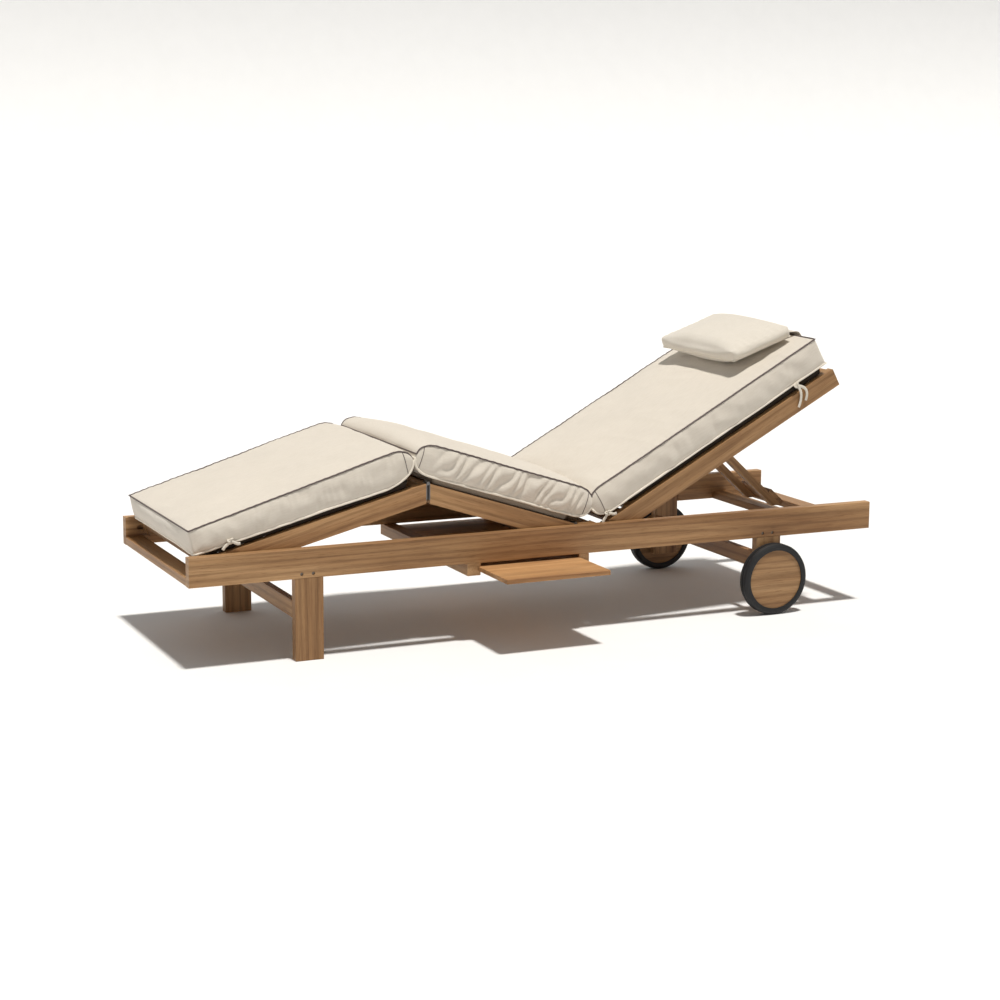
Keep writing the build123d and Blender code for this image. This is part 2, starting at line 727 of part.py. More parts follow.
# ---- prop: two arms on the rod, joined by a board at their lower ends ----
prop_half = prop_thickness / 2
prop_cut = sin(radians(-prop_slope)) / cos(radians(prop_slope))
prop_tip = prop_length - prop_half / prop_cut
for name, side in sides.items():
    low, high = span(side, prop_outer - prop_arm_width, prop_outer)
    with BuildPart() as arm:
        with BuildSketch(prop_plane(high)):
            with BuildLine():
                Polyline((0, -prop_half), (prop_tip, -prop_half), (prop_tip + prop_thickness / prop_cut, prop_half),
                         (0, prop_half), close=True)
            make_face()
            Circle(prop_half)
        extrude(amount=prop_arm_width)
        cut_rod(prop_plane(high + 1), [(0, 0)], prop_rod_radius + running_gap, prop_arm_width + 2)
    save(arm, "prop_arm_" + name)

board_end = prop_tip + prop_thickness / prop_cut
with BuildPart() as prop_foot_board:
    with BuildSketch(prop_plane(centre_y + prop_outer)):
        box_sketch((board_end - prop_board_length, prop_half), (board_end, prop_half + prop_board_thickness))
    extrude(amount=2 * prop_outer)
    fillet(prop_foot_board.edges().filter_by(Axis.Y), 1.5)
save(prop_foot_board, "prop_foot_board")

# ---- cushions, pillow, ties and strap: soft pieces, given as plain closed shapes ----
foot_end = -pad_gap - pad_chamfer
foot_outline = [(foot_pad_start, pad_base), (foot_pad_start + 5, pad_shoulder - 10),
                (foot_pad_start + 25, pad_top - 7), (foot_end - pad_run, pad_top),
                (foot_end, pad_shoulder), (-pad_gap, pad_nose), (foot_end, pad_base)]
save(cushion(foot_plane, foot_outline, ((foot_pad_start + 17, 0.5), (-30, 18))), "foot_cushion")
thigh_nose = -thigh_length + pad_gap
thigh_start = thigh_nose + pad_chamfer
thigh_outline = [(thigh_start, pad_base), (thigh_nose, pad_nose), (thigh_start, pad_shoulder),
                 (thigh_start + pad_run, pad_top), (seat_end_pad - 15, pad_top - 1),
                 (seat_end_pad, pad_shoulder), (seat_end_pad, pad_base + 15), (-12, pad_base)]
save(cushion(thigh_plane, thigh_outline, ((thigh_start + 2, 0.5), (-14, 18))), "thigh_cushion")
back_outline = [(back_pad_start, back_pad_base), (back_pad_start, pad_shoulder),
                (back_pad_start + 31, back_pad_top), (back_pad_end - 19, back_pad_top - 2),
                (back_pad_end, back_pad_top - pad_round), (back_pad_end, back_pad_base + 11),
                (back_pad_end - 9, back_pad_base)]
save(cushion(back_plane, back_outline, ((back_pad_start + 5, 25.5), (back_pad_end - 9, 43))),
     "back_cushion")
pillow_middle = (pillow_low + pillow_high) / 2
pillow_outline = [(pillow_start + 3, pillow_middle - pillow_round + 2),
                  (pillow_start, pillow_middle + pillow_round - 2),
                  (pillow_start + 23, pillow_high), (pillow_end - 28, pillow_high - 6),
                  (pillow_end - 4, pillow_middle + 10), (pillow_end, pillow_middle - pillow_round),
                  (pillow_end - pillow_round, pillow_low), (pillow_start + 33, pillow_low + 2)]
save(prism(back_plane, pillow_outline, pillow_half), "pillow")
flap_outline = [(769, 167), (771, 150), (801, 127), (801.5, 60), (804, 60), (804, 129), (774, 153), (771, 168)]
save(prism(back_plane, flap_outline, flap_half), "pillow_flap")


def tie_group(plane_of, spots):
    """Short knotted tapes against the sides of a cushion."""
    with BuildPart() as ties:
        for side in sides.values():
            low, high = span(side, cushion_half + 0.3, cushion_half + 0.3 + tie_thickness)
            for u, w in spots:
                with BuildSketch(plane_of(high)):
                    with Locations((u, w)):
                        RectangleRounded(tie_length, tie_height, 4)
                extrude(amount=tie_thickness)
    return ties


save(tie_group(foot_plane, [(-545, 24)]), "foot_cushion_ties")
save(tie_group(back_plane, [(16, 47), (682, 47)]), "back_cushion_ties")
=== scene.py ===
import json
import math
import bmesh
import bpy
import numpy as np
from mathutils import Matrix, Vector, noise


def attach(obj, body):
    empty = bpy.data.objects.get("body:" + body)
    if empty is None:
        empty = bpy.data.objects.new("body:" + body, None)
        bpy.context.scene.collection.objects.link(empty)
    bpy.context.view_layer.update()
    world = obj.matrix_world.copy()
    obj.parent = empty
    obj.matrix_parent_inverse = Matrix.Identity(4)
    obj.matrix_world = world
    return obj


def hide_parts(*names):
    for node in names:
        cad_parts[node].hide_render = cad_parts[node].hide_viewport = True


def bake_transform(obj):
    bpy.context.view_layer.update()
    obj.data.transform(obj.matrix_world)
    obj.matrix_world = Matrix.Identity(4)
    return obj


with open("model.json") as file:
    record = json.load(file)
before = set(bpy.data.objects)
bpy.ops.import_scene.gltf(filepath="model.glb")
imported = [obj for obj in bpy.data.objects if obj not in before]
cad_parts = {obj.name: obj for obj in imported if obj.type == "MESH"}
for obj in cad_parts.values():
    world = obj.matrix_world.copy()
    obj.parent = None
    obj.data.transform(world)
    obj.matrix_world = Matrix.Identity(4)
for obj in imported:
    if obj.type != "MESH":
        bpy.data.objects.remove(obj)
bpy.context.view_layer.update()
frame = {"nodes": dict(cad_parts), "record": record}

nodes = frame["nodes"]
joints = {j["name"]: j for j in frame["record"]["behaviour"]["joints"]}
scene = bpy.context.scene

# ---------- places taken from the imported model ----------
centre_y = joints["seat_hinge"]["pos_m"][1]
seat = np.array(joints["seat_hinge"]["pos_m"])
knee = np.array(joints["knee_hinge"]["pos_m"])
pivot = np.array(joints["backrest_pivot"]["pos_m"])
THIGH_SLOPE = -math.atan2(knee[2] - seat[2], seat[0] - knee[0])
FOOT_SLOPE = math.radians(14.16)
BACK_SLOPE = math.radians(28.4)
PROP_SLOPE = math.radians(-42.5)
HALF = 0.272


class Section:
    """Side-view coordinates of one folding section: u along it, w square to it, in millimetres."""

    def __init__(self, origin, slope):
        self.o = origin
        self.slope = slope
        self.c, self.s = math.cos(slope), math.sin(slope)

    def at(self, u, w, y=0.0):
        """A point in the row frame; y is measured from the lounger's centre plane, in metres."""
        u, w = u / 1000, w / 1000
        x = self.o[0] + u * self.c - w * self.s
        z = self.o[2] + u * self.s + w * self.c
        return Vector((x, centre_y + y, z))


thigh = Section(seat, THIGH_SLOPE)
foot = Section(knee, FOOT_SLOPE)
back = Section(pivot, BACK_SLOPE)


# ---------- materials ----------
def new_material(name):
    m = bpy.data.materials.new(name)
    m.use_nodes = True
    nt = m.node_tree
    nt.nodes.clear()
    out = nt.nodes.new("ShaderNodeOutputMaterial")
    shader = nt.nodes.new("ShaderNodeBsdfPrincipled")
    nt.links.new(shader.outputs[0], out.inputs[0])
    return m, nt, shader


def add(nt, kind, **inputs):
    n = nt.nodes.new(kind)
    for key, value in inputs.items():
        if key in ("operation", "data_type", "blend_type", "bands_direction"):
            setattr(n, key, value)
        else:
            n.inputs[key.replace("_", " ")].default_value = value
    return n


def ramp(nt, source, stops):
    r = nt.nodes.new("ShaderNodeValToRGB")
    e = r.color_ramp.elements
    while len(e) < len(stops):
        e.new(0.5)
    for el, (pos, col) in zip(e, stops):
        el.position = pos
        el.color = (*col, 1)
    nt.links.new(source, r.inputs[0])
    return r


def multiply(nt, under, over, factor):
    """One colour darkened by another."""
    mix = add(nt, "ShaderNodeMix", data_type="RGBA", blend_type="MULTIPLY")
    mix.inputs[0].default_value = factor
    nt.links.new(under, mix.inputs[6])
    nt.links.new(over, mix.inputs[7])
    return mix.outputs[2]


def set_roughness(nt, shader, source, low, high):
    """Roughness that follows a texture, from low to high."""
    between = add(nt, "ShaderNodeMapRange")
    between.inputs["To Min"].default_value = low
    between.inputs["To Max"].default_value = high
    nt.links.new(source, between.inputs[0])
    nt.links.new(between.outputs[0], shader.inputs["Roughness"])


def set_bump(nt, shader, source, strength, distance):
    """Fine relief that follows a texture; distance is in metres."""
    bump = add(nt, "ShaderNodeBump", Strength=strength, Distance=distance)
    nt.links.new(source, bump.inputs["Height"])
    nt.links.new(bump.outputs[0], shader.inputs["Normal"])


def turned(nt, rot, scale, shift=(0, 0, 0)):
    """Object coordinates turned so that X runs along the member, then stretched."""
    tc = nt.nodes.new("ShaderNodeTexCoord")
    a = nt.nodes.new("ShaderNodeMapping")
    a.inputs["Rotation"].default_value = rot
    b = nt.nodes.new("ShaderNodeMapping")
    b.inputs["Scale"].default_value = scale
    b.inputs["Location"].default_value = shift
    nt.links.new(tc.outputs["Object"], a.inputs[0])
    nt.links.new(a.outputs[0], b.inputs[0])
    return b


def wood(name, rot, seed, tone=1.0, rough=0.5):
    """Oiled teak: broad bands, fine streaks and short dark pores along the member."""
    m, nt, sh = new_material(name)
    shift = (seed * 3.17, seed * 1.73, seed * 2.41)
    broad = add(nt, "ShaderNodeTexNoise", Scale=15.0, Detail=3.0, Roughness=0.5, Distortion=0.9)
    nt.links.new(turned(nt, rot, (0.07, 1, 1), shift).outputs[0], broad.inputs["Vector"])
    rings = add(nt, "ShaderNodeTexWave", Scale=13.0, Distortion=9.0, Detail=3.0, bands_direction="Z")
    rings.inputs["Detail Scale"].default_value = 1.3
    nt.links.new(turned(nt, rot, (0.05, 0.8, 1), shift).outputs[0], rings.inputs["Vector"])
    fine = add(nt, "ShaderNodeTexNoise", Scale=260.0, Detail=5.0, Roughness=0.6, Distortion=0.2)
    nt.links.new(turned(nt, rot, (0.03, 1, 1), shift).outputs[0], fine.inputs["Vector"])
    pores = add(nt, "ShaderNodeTexNoise", Scale=900.0, Detail=2.0, Roughness=0.5)
    nt.links.new(turned(nt, rot, (0.035, 1, 1), shift).outputs[0], pores.inputs["Vector"])
    light = tuple(c * tone for c in (0.50, 0.300, 0.145))
    mid = tuple(c * tone for c in (0.375, 0.208, 0.092))
    deep = tuple(c * tone for c in (0.25, 0.122, 0.047))
    base = ramp(nt, broad.outputs[0], [(0.30, deep), (0.5, mid), (0.70, light)])
    band = ramp(nt, rings.outputs[0],
                [(0.0, (0.62, 0.56, 0.50)), (0.45, (1, 1, 1)), (1.0, (1.05, 1.03, 1.0))])
    streak = ramp(nt, fine.outputs[0],
                  [(0.33, (0.66, 0.60, 0.54)), (0.52, (1, 1, 1)), (0.72, (1.12, 1.1, 1.06))])
    pore = ramp(nt, pores.outputs[0], [(0.30, (0.5, 0.42, 0.34)), (0.42, (1, 1, 1))])
    colour = base.outputs[0]
    for layer in (band, streak, pore):
        colour = multiply(nt, colour, layer.outputs[0], 0.6)
    nt.links.new(colour, sh.inputs["Base Color"])
    set_roughness(nt, sh, fine.outputs[0], rough - 0.1, rough + 0.12)
    set_bump(nt, sh, fine.outputs[0], 0.35, 0.0006)
    sh.inputs["Specular IOR Level"].default_value = 0.35
    return m


def fabric(name, colour, slope=0.0, rough=0.92, thread=0.0016, sheen=0.25):
    """Plain weave outdoor cloth: crossed threads in the bump, with a faint mottling."""
    m, nt, sh = new_material(name)
    rot = (0, slope, 0)
    per = 2 * math.pi / thread / 20.0
    warp = add(nt, "ShaderNodeTexWave", Scale=per, Distortion=0.6, Detail=1.0, bands_direction="X")
    weft = add(nt, "ShaderNodeTexWave", Scale=per, Distortion=0.6, Detail=1.0, bands_direction="Y")
    co = turned(nt, rot, (1, 1, 1))
    nt.links.new(co.outputs[0], warp.inputs["Vector"])
    nt.links.new(co.outputs[0], weft.inputs["Vector"])
    weave = add(nt, "ShaderNodeMath", operation="ADD")
    nt.links.new(warp.outputs[1], weave.inputs[0])
    nt.links.new(weft.outputs[1], weave.inputs[1])
    mottle = add(nt, "ShaderNodeTexNoise", Scale=9.0, Detail=5.0, Roughness=0.6)
    nt.links.new(co.outputs[0], mottle.inputs["Vector"])
    slub = add(nt, "ShaderNodeTexNoise", Scale=340.0, Detail=3.0, Roughness=0.6)
    nt.links.new(turned(nt, rot, (0.12, 1, 1)).outputs[0], slub.inputs["Vector"])
    tint = ramp(nt, mottle.outputs[0], [(0.3, tuple(c * 0.955 for c in colour)), (0.7, colour)])
    fleck = ramp(nt, slub.outputs[0], [(0.3, (0.93, 0.92, 0.90)), (0.6, (1, 1, 1))])
    colour_out = multiply(nt, tint.outputs[0], fleck.outputs[0], 0.8)
    nt.links.new(colour_out, sh.inputs["Base Color"])
    set_bump(nt, sh, weave.outputs[0], 0.35, 0.0004)
    sh.inputs["Roughness"].default_value = rough
    sh.inputs["Specular IOR Level"].default_value = 0.15
    sh.inputs["Sheen Weight"].default_value = sheen
    sh.inputs["Sheen Roughness"].default_value = 0.6
    return m


def plain(name, colour, rough, metal=0.0, scale=120.0, depth=0.0002, spread=0.12, stretch=(1, 1, 1)):
    """Metal, rubber or plastic with a fine uneven finish."""
    m, nt, sh = new_material(name)
    n = add(nt, "ShaderNodeTexNoise", Scale=scale, Detail=5.0, Roughness=0.6)
    nt.links.new(turned(nt, (0, 0, 0), stretch).outputs[0], n.inputs["Vector"])
    tint = ramp(nt, n.outputs[0], [(0.3, tuple(c * (1 - spread) for c in colour)),
                                   (0.7, tuple(min(1, c * (1 + spread)) for c in colour))])
    nt.links.new(tint.outputs[0], sh.inputs["Base Color"])
    set_roughness(nt, sh, n.outputs[0], rough - 0.08, rough + 0.1)
    set_bump(nt, sh, n.outputs[0], 0.4, depth)
    sh.inputs["Metallic"].default_value = metal
    return m


ALONG_X = (0, 0, 0)
ALONG_Y = (0, 0, -math.pi / 2)
ALONG_Z = (0, math.pi / 2, 0)
wood_of = {
    "rail_near": wood("teak_rail_near", ALONG_X, 1, 1.0),
    "rail_far": wood("teak_rail_far", ALONG_X, 2, 1.0),
    "thigh_stile": wood("teak_thigh", (0, THIGH_SLOPE, 0), 3, 1.05),
    "foot_stile": wood("teak_foot", (0, FOOT_SLOPE, 0), 4, 1.12),
    "back_stile": wood("teak_back", (0, BACK_SLOPE, 0), 5, 0.92),
    "seat_block": wood("teak_block", ALONG_X, 6, 1.0),
    "prop_arm": wood("teak_prop", (0, PROP_SLOPE, 0), 7, 0.95),
    "leg": wood("teak_leg", ALONG_Z, 8, 0.92),
    "across": wood("teak_across", ALONG_Y, 9, 1.0),
    "slats": wood("teak_slats", ALONG_Y, 10, 0.9),
    "tray": wood("teak_tray", ALONG_X, 11, 1.4),
    "disc": wood("teak_disc", ALONG_X, 12, 0.88),
}
steel = plain("hinge_steel", (0.20, 0.20, 0.20), 0.42, 1.0, 400.0, 0.0001, 0.1, (0.2, 1, 1))
screw_steel = plain("screw_steel", (0.20, 0.17, 0.14), 0.5, 1.0, 700.0, 0.0001)
# Near-black, non-metal slat screws: painted shade for the screws in the shaded gap under the cushions,
# so that they show no glint.
screw_painted_shade = plain("slat_screw_painted_shade", (0.045, 0.032, 0.022), 0.6, 0.0, 700.0, 0.0001)
rubber = plain("tyre_rubber", (0.007, 0.007, 0.008), 0.62, 0.0, 500.0, 0.0003, 0.25)
nylon = plain("bush_nylon", (0.03, 0.03, 0.03), 0.5, 0.0, 300.0, 0.0001)

for name, obj in nodes.items():
    if "stile" in name or name.startswith("rail_") or "block" in name or "prop_arm" in name:
        key = name if name.startswith("rail") else name.rsplit("_", 1)[0]
        m = wood_of[key]
    elif "_leg_" in name:
        m = wood_of["leg"]
    elif "slats" in name or name == "seat_slat":
        m = wood_of["slats"]
    elif name == "tray_board":
        m = wood_of["tray"]
    elif "disc" in name:
        m = wood_of["disc"]
    elif "tyre" in name:
        m = rubber
    elif "bush" in name:
        m = nylon
    elif "slat_screws" in name:
        m = screw_painted_shade
    elif "screws" in name:
        m = screw_steel
    elif "leaves" in name or "pins" in name or "rod" in name or "spindle" in name:
        m = steel
    else:
        m = wood_of["across"]
    obj.data.materials.clear()
    obj.data.materials.append(m)

CREAM = (0.74, 0.675, 0.585)
cloth_foot = fabric("cushion_cloth_foot", CREAM, FOOT_SLOPE)
cloth_thigh = fabric("cushion_cloth_thigh", CREAM, THIGH_SLOPE)
cloth_back = fabric("cushion_cloth_back", CREAM, BACK_SLOPE)
cloth_pillow = fabric("pillow_cloth", (0.76, 0.70, 0.61), BACK_SLOPE, sheen=0.35)
# Dark welt colour: painted shade for the shadowed recess along the top seams and the band seams, on
# piping that is cut from the cream cushion cloth.
welt_painted_shade = fabric("welt_top_painted_shade", (0.145, 0.115, 0.11), 0, 0.85, 0.0012, 0.05)
# Light welt colour, paler than the cushion cloth: painted highlight on the lit piping along the bottom
# seams.
welt_painted_highlight = fabric("welt_bottom_painted_highlight", (0.88, 0.81, 0.70), 0, 0.85, 0.0012, 0.1)
# Near-black cloth for the lower middles of the foot and back cushions: painted shade for the dark gap
# under these cushions.
underside_painted_deep_shade = fabric("cushion_underside_painted_deep_shade", (0.045, 0.035, 0.028), 0.0, 0.95, sheen=0.0)
# Brown-grey cloth for the thigh cushion's lower middle: painted shade, the cream cushion cloth as it
# looks in the shade under the cushion.
underside_painted_shade = fabric("cushion_underside_painted_shade", (0.34, 0.28, 0.22), THIGH_SLOPE, 0.95)
tape = fabric("tie_tape", (0.80, 0.74, 0.64), 0, 0.9, 0.0012, 0.1)


# ---------- mesh helpers ----------
def link(name, verts, faces, mat):
    """A new smooth-shaded mesh object in the scene."""
    me = bpy.data.meshes.new(name)
    me.from_pydata([tuple(v) for v in verts], [], faces)
    me.validate()
    me.update()
    o = bpy.data.objects.new(name, me)
    scene.collection.objects.link(o)
    me.materials.append(mat)
    me.shade_smooth()
    return o


def resample(points, n):
    """n points evenly spaced along a smooth line through the given ones."""
    p = np.array(points, float)
    for _ in range(3):
        q = [p[0]]
        for a, b in zip(p[:-1], p[1:]):
            q += [a * 0.75 + b * 0.25, a * 0.25 + b * 0.75]
        q.append(p[-1])
        p = np.array(q)
    d = np.r_[0, np.cumsum(np.linalg.norm(np.diff(p, axis=0), axis=1))]
    t = np.linspace(0, d[-1], n)
    return np.stack([np.interp(t, d, p[:, k]) for k in range(p.shape[1])], 1)


def tube(name, path, radius, mat, sides=10, squash_to=1.0):
    """Round welt or cord swept along a path of points in the row frame."""
    path = [Vector(p) for p in path]
    verts, faces = [], []
    up = Vector((0.02, 1.0, 0.03)).normalized()
    for i, p in enumerate(path):
        d = (path[min(i + 1, len(path) - 1)] - path[max(i - 1, 0)]).normalized()
        a = d.cross(up)
        if a.length < 0.15:
            a = d.cross(Vector((1, 0, 0.1)))
        a.normalize()
        b = d.cross(a).normalized()
        for k in range(sides):
            t = 2 * math.pi * k / sides
            verts.append(p + a * math.cos(t) * radius + b * math.sin(t) * radius * squash_to)
    for i in range(len(path) - 1):
        for k in range(sides):
            a0, a1 = i * sides + k, i * sides + (k + 1) % sides
            faces.append((a0, a1, a1 + sides, a0 + sides))
    faces.append(tuple(range(sides - 1, -1, -1)))
    last = (len(path) - 1) * sides
    faces.append(tuple(range(last, last + sides)))
    return link(name, verts, faces, mat)


def puff(obj, pins, pressure, cap, frames=20):
    """Swells a closed pad with the cloth solver, its seams held; cap limits how far a point moves."""
    if not pressure:
        return
    rest = np.array([v.co for v in obj.data.vertices])
    group = obj.vertex_groups.new(name="seams")
    group.add([int(i) for i in pins], 1.0, "REPLACE")
    mod = obj.modifiers.new("cloth", "CLOTH")
    st = mod.settings
    st.quality = 6
    st.mass = 0.25
    st.tension_stiffness = 18
    st.compression_stiffness = 18
    st.shear_stiffness = 6
    st.bending_stiffness = 0.35
    st.use_pressure = True
    st.uniform_pressure_force = pressure
    st.vertex_group_mass = "seams"
    st.effector_weights.gravity = 0
    mod.collision_settings.use_collision = False
    mod.point_cache.frame_start = 1
    mod.point_cache.frame_end = frames
    for f in range(1, frames + 1):
        scene.frame_set(f)
    ev = obj.evaluated_get(bpy.context.evaluated_depsgraph_get())
    now = np.array([v.co for v in ev.data.vertices])
    obj.modifiers.remove(mod)
    obj.vertex_groups.remove(group)
    scene.frame_set(1)
    move = now - rest
    size = np.linalg.norm(move, axis=1, keepdims=True)
    move *= np.minimum(1.0, cap / np.maximum(size, 1e-9))
    obj.data.vertices.foreach_set("co", (rest + move).astype(np.float32).ravel())
    obj.data.update()


def refine(obj):
    """One level of subdivision, applied."""
    mod = obj.modifiers.new("sub", "SUBSURF")
    mod.levels = mod.render_levels = 1
    ev = obj.evaluated_get(bpy.context.evaluated_depsgraph_get())
    me = bpy.data.meshes.new_from_object(ev)
    obj.modifiers.clear()
    obj.data = me
    me.shade_smooth()


def boxed_pad(name, section, top, bottom, half, mat, n=90, k=9, cols=58, crown=0.016, under=0.002,
              bulge=0.006, end_bulge=(0.006, 0.006), pleats=None, wrinkle=0.0015, seed=0, pressure=3.0,
              cap=0.012, pucker=0.0012):
    """Boxed cushion: crowned panels inside a top and a bottom seam, and a side band between them.

    pleats are (count, slant, depth, start, end); the last two are shares of the cushion's length.
    Returns the piece and its seams, as lists of points.
    """
    T, B = resample(top, n), resample(bottom, n)

    def normals(line, sign):
        d = np.gradient(line, axis=0)
        d /= np.linalg.norm(d, axis=1, keepdims=True)
        return np.stack([-d[:, 1], d[:, 0]], 1) * sign

    profile, norm, amp = [], [], []
    NT, NB = normals(T, 1), normals(B, -1)

    def ease(s):
        return min(1.0, min(s, 1 - s) / 0.12) ** 0.6

    for i in range(n):
        profile.append(T[i])
        norm.append(NT[i])
        amp.append(crown * ease(i / (n - 1)))
    for j in range(1, k):
        t = j / k
        profile.append(T[-1] * (1 - t) + B[-1] * t)
        norm.append((1, 0))
        amp.append(end_bulge[1] * 4 * t * (1 - t))
    for i in range(n - 1, -1, -1):
        profile.append(B[i])
        norm.append(NB[i])
        amp.append(under * ease(i / (n - 1)))
    for j in range(1, k):
        t = j / k
        profile.append(B[0] * (1 - t) + T[0] * t)
        norm.append((-1, 0))
        amp.append(end_bulge[0] * 4 * t * (1 - t))
    m = len(profile)
    verts, faces, index = [], [], {}
    for c in range(cols + 1):
        v = -1 + 2 * c / cols
        v = math.copysign(abs(v) ** 0.85, v) if v else 0.0
        across = 1 - abs(v) ** 3.0
        for i in range(m):
            a = amp[i] * across
            p = np.array(profile[i]) + np.array(norm[i]) * a * 1000
            index[("p", c, i)] = len(verts)
            verts.append(section.at(p[0], p[1], v * half))
    for c in range(cols):
        for i in range(m):
            j = (i + 1) % m
            corners = ((c, i), (c, j), (c + 1, j), (c + 1, i))
            faces.append(tuple(index[("p", a, b)] for a, b in corners))
    folds = {}

    def ring(c, i, j):
        if j == 0:
            return index[("p", c, i)]
        if j == k:
            return index[("p", c, n + k - 1 + (n - 1 - i))]
        if i == n - 1:
            return index[("p", c, n - 1 + j)]
        if i == 0:
            return index[("p", c, m - j)]
        return index[("s", c, i, j)]

    for c, sign in ((0, -1), (cols, 1)):
        for i in range(1, n - 1):
            for j in range(1, k):
                t, s = j / k, i / (n - 1)
                p = T[i] * (1 - t) + B[i] * t
                push = bulge * 4 * t * (1 - t) * min(1.0, min(s, 1 - s) / 0.05)
                spot = Vector((p[0] * 0.026, p[1] * 0.026, seed + sign))
                fold = wrinkle * 1.6 * noise.noise(spot)
                if pleats:
                    count, slant, depth, lo, hi = pleats
                    if lo < s < hi:
                        ph = (s - lo) / (hi - lo) * count + slant * t
                        ph += 0.30 * math.sin(s * 41 + seed)
                        ph += 0.5 * noise.noise(Vector((s * 9, t * 1.5, seed + sign)))
                        fade = min(1.0, min(s - lo, hi - s) / 0.05)
                        fold += depth * (abs(math.sin(math.pi * ph)) ** 0.7 - 0.7) * fade
                folds[len(verts)] = fold * sign * (1 - (2 * t - 1) ** 4)
                index[("s", c, i, j)] = len(verts)
                verts.append(section.at(p[0], p[1], sign * (half + push)))
        for i in range(n - 1):
            for j in range(k):
                f = (ring(c, i, j), ring(c, i, j + 1), ring(c, i + 1, j + 1), ring(c, i + 1, j))
                faces.append(f if sign < 0 else f[::-1])
    o = link(name, verts, faces, mat)
    bm = bmesh.new()
    bm.from_mesh(o.data)
    bmesh.ops.recalc_face_normals(bm, faces=bm.faces[:])
    seam = set()
    for c in (0, cols):
        for i in range(n):
            seam.add(index[("p", c, i)])
            seam.add(index[("p", c, n + k - 1 + (n - 1 - i))])
    for c in range(cols + 1):
        for i in (0, n - 1, n + k - 1, n + k - 1 + n - 1):
            seam.add(index[("p", c, i)])
    bm.to_mesh(o.data)
    bm.free()
    o.data.update()
    puff(o, seam, pressure, cap)
    edge = {}
    for c in range(cols + 1):
        depth_in = min(c, cols - c) / cols * 2 * half
        for i in range(n):
            edge[index[("p", c, i)]] = (math.exp(-depth_in / 0.022), T[i][0])
    shifts = []
    for v in o.data.vertices:
        q = v.co * 7.0 + Vector((seed * 1.3, 0, 0))
        crease = Vector((v.co.x * 20 + v.co.y * 7, v.co.y * 4, v.co.z * 20 + seed))
        lift = wrinkle * (1.3 * noise.noise(q) + 1.1 * (0.35 - abs(noise.noise(crease))))
        if v.index in edge:
            near, u = edge[v.index]
            drift = 2.2 * noise.noise(Vector((u * 0.02, seed, 0)))
            lift += pucker * near * math.sin(u * 0.30 + drift)
        scale = 0.5 if v.index in seam else 1.0
        shifts.append(v.normal * lift * scale + Vector((0, folds.get(v.index, 0.0), 0)))
    for v, move in zip(o.data.vertices, shifts):
        v.co += move
    o.data.update()
    co = np.array([v.co for v in o.data.vertices])
    lines = {}
    for c, side in ((0, "near"), (cols, "far")):
        lines["top_" + side] = [co[index[("p", c, i)]] for i in range(n)]
        lines["bottom_" + side] = [co[index[("p", c, n + k - 1 + (n - 1 - i))]] for i in range(n)]
    for label, i in (("top_start", 0), ("top_end", n - 1),
                     ("bottom_end", n + k - 1), ("bottom_start", m - k)):
        lines[label] = [co[index[("p", c, i)]] for c in range(cols + 1)]
    for c, side in ((0, "near"), (cols, "far")):
        for end, share in (("a", 0.06), ("b", 0.94)):
            i = int(share * (n - 1))
            lines[f"band_{side}_{end}"] = [co[ring(c, i, j)] for j in range(0, k + 1)]
    refine(o)
    return o, lines


def loop(lines, level):
    """One closed seam round the pad at the top or the bottom."""
    path = list(lines[level + "_near"]) + list(lines[level + "_end"])[1:-1]
    path += list(lines[level + "_far"])[::-1] + list(lines[level + "_start"])[::-1][1:]
    return path


# ---------- cushions ----------
def seam_line(first, last, levels, start=(0, 0), end=(0, 0), steps=12):
    """Seam in side view: a straight run between two levels, with a quarter-ellipse at each end.

    start and end are (length, drop) of the ellipse; a negative drop turns it upwards.
    """
    line = []
    if start[0]:
        for a in np.linspace(0, math.pi / 2, steps, endpoint=False):
            line.append((first + start[0] * (1 - math.cos(a)),
                         levels[0] - start[1] * (1 - math.sin(a))))
    line += [(first + start[0], levels[0]), (last - end[0], levels[1])]
    if end[0]:
        for a in np.linspace(math.pi / 2, 0, steps, endpoint=False)[1:]:
            line.append((last - end[0] * (1 - math.cos(a)),
                         levels[1] - end[1] * (1 - math.sin(a))))
        line.append((last, levels[1] - end[1]))
    return line


PAD_DEPTH = 80            # side band of the three cushions, millimetres
PAD_LIFT = 19             # bottom seam above the top of the stiles
BACK_LIFT = 45            # the same above the backrest's axis, which runs inside its stiles
NOSE = (50, 34)           # rounding of a cushion's top seam where two cushions meet
CHIN = (50, -34)          # and of its bottom seam
FOOT_START, FOOT_LAST = -641, -25
THIGH_START, THIGH_LAST = -504, 31
BACK_START, BACK_LAST = -16, 795
PAD_TOP = PAD_LIFT + PAD_DEPTH
BACK_PAD_TOP = BACK_LIFT + PAD_DEPTH
FOOT_TOP = seam_line(FOOT_START, FOOT_LAST, (PAD_TOP - 18, PAD_TOP + 8), end=NOSE)
FOOT_BOTTOM = seam_line(FOOT_START, FOOT_LAST, (PAD_LIFT, PAD_LIFT),
                        end=(2 * CHIN[0], 1.5 * CHIN[1]))
THIGH_TOP = seam_line(THIGH_START, THIGH_LAST, (PAD_TOP, PAD_TOP), NOSE, NOSE)
THIGH_BOTTOM = seam_line(THIGH_START, THIGH_LAST, (PAD_LIFT, PAD_LIFT), CHIN, CHIN)
BACK_TOP = seam_line(BACK_START, BACK_LAST, (BACK_PAD_TOP - 3, BACK_PAD_TOP + 5), start=NOSE)
BACK_BOTTOM = seam_line(BACK_START, BACK_LAST, (BACK_LIFT, BACK_LIFT + 7), start=CHIN)

